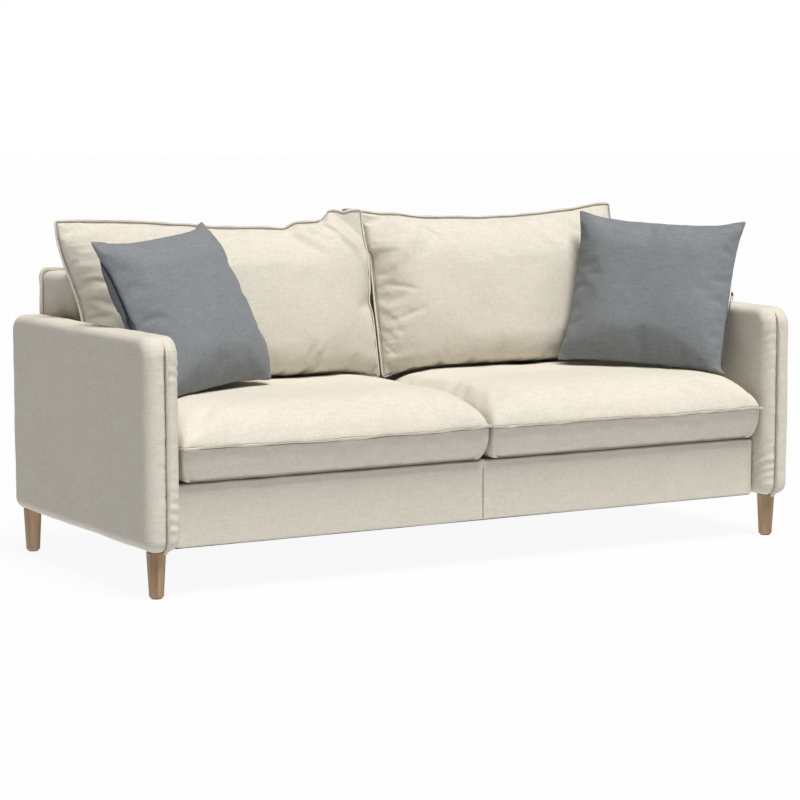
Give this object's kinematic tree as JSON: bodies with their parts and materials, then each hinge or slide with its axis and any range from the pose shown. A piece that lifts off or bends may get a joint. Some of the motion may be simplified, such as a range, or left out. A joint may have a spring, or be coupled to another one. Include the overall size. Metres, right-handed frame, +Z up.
{
  "type": "two-seat sofa",
  "caption": "Upholstered sofa with slab arms, loose seat and back cushions, scatter pillows and tapered wooden legs.",
  "frame": {"origin": "on the floor at the centre of the footprint", "axes": "+X along the sofa's width, towards the right arm as seen from the front, +Y to the back, +Z up"},
  "size_m": [1.99, 0.9, 0.9146],
  "materials": {
    "cream_fabric": "woven linen-look upholstery",
    "grey_fabric": "woven slate grey",
    "leg_wood": "oiled, vertical grain",
    "frame_wood": "sawn softwood",
    "hardboard": "smooth pressed fibre",
    "foam": "open-cell foam and fibre",
    "felt": "needled felt",
    "lining": "non-woven lining",
    "webbing": "elastic webbing",
    "spring_steel": "oiled wire",
    "zinc_steel": "zinc plated",
    "glide_plastic": "moulded",
    "zip_tape": "woven tape and coil",
    "zip_metal": "enamelled slider"
  },
  "bodies": {
    "sofa_frame": {"front_rail": "frame_wood", "back_rail": "frame_wood", "spring_rail": "frame_wood", "centre_beam": "frame_wood", "corner_blocks": "frame_wood", "seat_springs": "spring_steel", "spring_clips": "spring_steel", "seat_deck_pad": "felt", "seat_deck_cloth": "lining", "front_rail_padding": "foam", "front_rail_cover": "cream_fabric", "dust_cover": "lining", "leg_front_left": "leg_wood", "leg_front_right": "leg_wood", "leg_back_left": "leg_wood", "leg_back_right": "leg_wood", "leg_hanger_bolts": "zinc_steel", "leg_tee_nuts": "zinc_steel", "leg_glides": "glide_plastic", "frame_bolts": "zinc_steel", "frame_tee_nuts": "zinc_steel", "back_frame": "frame_wood", "back_webbing": "webbing", "back_padding": "foam", "back_cover": "cream_fabric", "back_rear_panel": "cream_fabric", "back_flange": "cream_fabric", "left_side_rail": "frame_wood", "left_arm_frame": "frame_wood", "left_arm_panels": "hardboard", "left_arm_padding": "foam", "left_arm_cover": "cream_fabric", "left_arm_flange": "cream_fabric", "right_side_rail": "frame_wood", "right_arm_frame": "frame_wood", "right_arm_panels": "hardboard", "right_arm_padding": "foam", "right_arm_cover": "cream_fabric", "right_arm_flange": "cream_fabric"},
    "left_seat_cushion": {"left_seat_cushion_cover": "cream_fabric", "left_seat_cushion_foam": "foam", "left_seat_cushion_flange": "cream_fabric"},
    "left_back_cushion": {"left_back_cushion_cover": "cream_fabric", "left_back_cushion_fill": "foam", "left_back_cushion_flange": "cream_fabric"},
    "left_pillow": {"left_pillow_cover": "grey_fabric", "left_pillow_insert": "foam", "left_pillow_zipper": "zip_tape"},
    "left_zip_slider": {"left_pillow_zipper_slider": "zip_metal"},
    "right_seat_cushion": {"right_seat_cushion_cover": "cream_fabric", "right_seat_cushion_foam": "foam", "right_seat_cushion_flange": "cream_fabric"},
    "right_back_cushion": {"right_back_cushion_cover": "cream_fabric", "right_back_cushion_fill": "foam", "right_back_cushion_flange": "cream_fabric"},
    "right_pillow": {"right_pillow_cover": "grey_fabric", "right_pillow_insert": "foam", "right_pillow_zipper": "zip_tape"},
    "right_zip_slider": {"right_pillow_zipper_slider": "zip_metal"}
  },
  "joints": [
    {"name": "left_seat_lift", "type": "slide", "parent": "sofa_frame", "child": "left_seat_cushion", "axis": [0, 0, 1], "range_m": [0, 0.4]},
    {"name": "left_back_lift", "type": "slide", "parent": "left_seat_cushion", "child": "left_back_cushion", "axis": [0, -0.26, 0.9656], "range_m": [0, 0.35]},
    {"name": "left_pillow_lift", "type": "slide", "parent": "left_back_cushion", "child": "left_pillow", "axis": [0, -0.5, 0.866], "range_m": [0, 0.35]},
    {"name": "left_zip_slide", "type": "slide", "parent": "left_pillow", "child": "left_zip_slider", "axis": [0.241, -0.3504, -0.9051], "range_m": [0, 0.17]},
    {"name": "right_seat_lift", "type": "slide", "parent": "sofa_frame", "child": "right_seat_cushion", "axis": [0, 0, 1], "range_m": [0, 0.4]},
    {"name": "right_back_lift", "type": "slide", "parent": "right_seat_cushion", "child": "right_back_cushion", "axis": [0, -0.26, 0.9656], "range_m": [0, 0.35]},
    {"name": "right_pillow_lift", "type": "slide", "parent": "right_back_cushion", "child": "right_pillow", "axis": [0, -0.5, 0.866], "range_m": [0, 0.35]},
    {"name": "right_zip_slide", "type": "slide", "parent": "right_pillow", "child": "right_zip_slider", "axis": [-0.3041, -0.2033, -0.9307], "range_m": [0, 0.17]}
  ]
}
